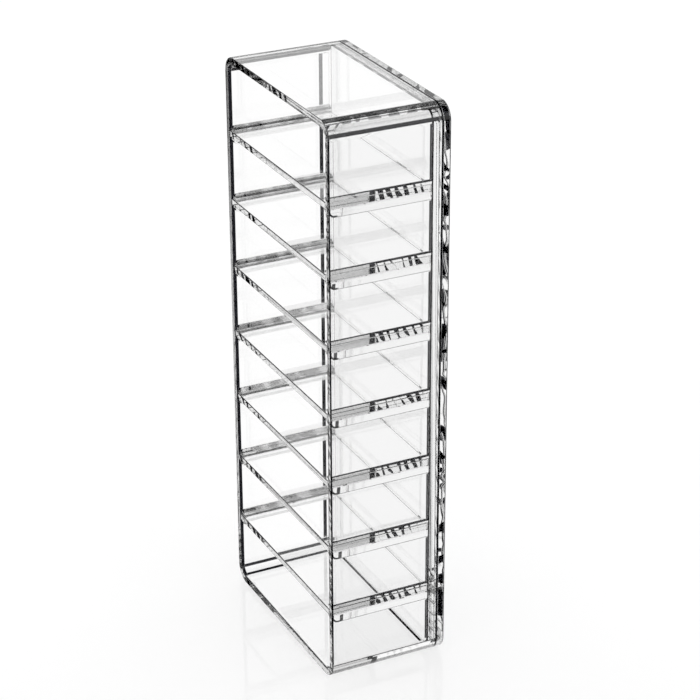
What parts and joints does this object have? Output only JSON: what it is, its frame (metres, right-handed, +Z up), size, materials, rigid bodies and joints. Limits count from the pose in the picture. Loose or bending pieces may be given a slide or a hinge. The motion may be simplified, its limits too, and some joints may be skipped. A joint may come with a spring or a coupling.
{
  "type": "eyeshadow organizer",
  "caption": "Tall clear acrylic tower, open at the front, with removable dividers in guide strips, for standing or laying flat and holding make-up compacts.",
  "frame": {"origin": "middle of the base, on the surface that the tower stands on", "axes": "+Z up the tower, the open front faces -Y, +X to the right as seen from the front"},
  "size_m": [0.12, 0.065, 0.304],
  "materials": {
    "clear_sleeve": "polished clear acrylic",
    "clear_back": "polished clear acrylic",
    "clear_divider": "polished clear acrylic",
    "clear_guide": "polished clear acrylic"
  },
  "bodies": {
    "case": {"sleeve": "clear_sleeve", "back_panel": "clear_back", "left_lower_guide_1": "clear_guide", "left_upper_guide_1": "clear_guide", "right_lower_guide_1": "clear_guide", "right_upper_guide_1": "clear_guide", "left_lower_guide_2": "clear_guide", "left_upper_guide_2": "clear_guide", "right_lower_guide_2": "clear_guide", "right_upper_guide_2": "clear_guide", "left_lower_guide_3": "clear_guide", "left_upper_guide_3": "clear_guide", "right_lower_guide_3": "clear_guide", "right_upper_guide_3": "clear_guide", "left_lower_guide_4": "clear_guide", "left_upper_guide_4": "clear_guide", "right_lower_guide_4": "clear_guide", "right_upper_guide_4": "clear_guide", "left_lower_guide_5": "clear_guide", "left_upper_guide_5": "clear_guide", "right_lower_guide_5": "clear_guide", "right_upper_guide_5": "clear_guide", "left_lower_guide_6": "clear_guide", "left_upper_guide_6": "clear_guide", "right_lower_guide_6": "clear_guide", "right_upper_guide_6": "clear_guide", "left_lower_guide_7": "clear_guide", "left_upper_guide_7": "clear_guide", "right_lower_guide_7": "clear_guide", "right_upper_guide_7": "clear_guide"},
    "divider_1": {"divider_1": "clear_divider"},
    "divider_2": {"divider_2": "clear_divider"},
    "divider_3": {"divider_3": "clear_divider"},
    "divider_4": {"divider_4": "clear_divider"},
    "divider_5": {"divider_5": "clear_divider"},
    "divider_6": {"divider_6": "clear_divider"},
    "divider_7": {"divider_7": "clear_divider"}
  },
  "joints": [
    {"name": "divider_1_slide", "type": "slide", "parent": "case", "child": "divider_1", "axis": [0, -1, 0], "range_m": [0, 0.06]},
    {"name": "divider_2_slide", "type": "slide", "parent": "case", "child": "divider_2", "axis": [0, -1, 0], "range_m": [0, 0.06]},
    {"name": "divider_3_slide", "type": "slide", "parent": "case", "child": "divider_3", "axis": [0, -1, 0], "range_m": [0, 0.06]},
    {"name": "divider_4_slide", "type": "slide", "parent": "case", "child": "divider_4", "axis": [0, -1, 0], "range_m": [0, 0.06]},
    {"name": "divider_5_slide", "type": "slide", "parent": "case", "child": "divider_5", "axis": [0, -1, 0], "range_m": [0, 0.06]},
    {"name": "divider_6_slide", "type": "slide", "parent": "case", "child": "divider_6", "axis": [0, -1, 0], "range_m": [0, 0.06]},
    {"name": "divider_7_slide", "type": "slide", "parent": "case", "child": "divider_7", "axis": [0, -1, 0], "range_m": [0, 0.06]}
  ]
}
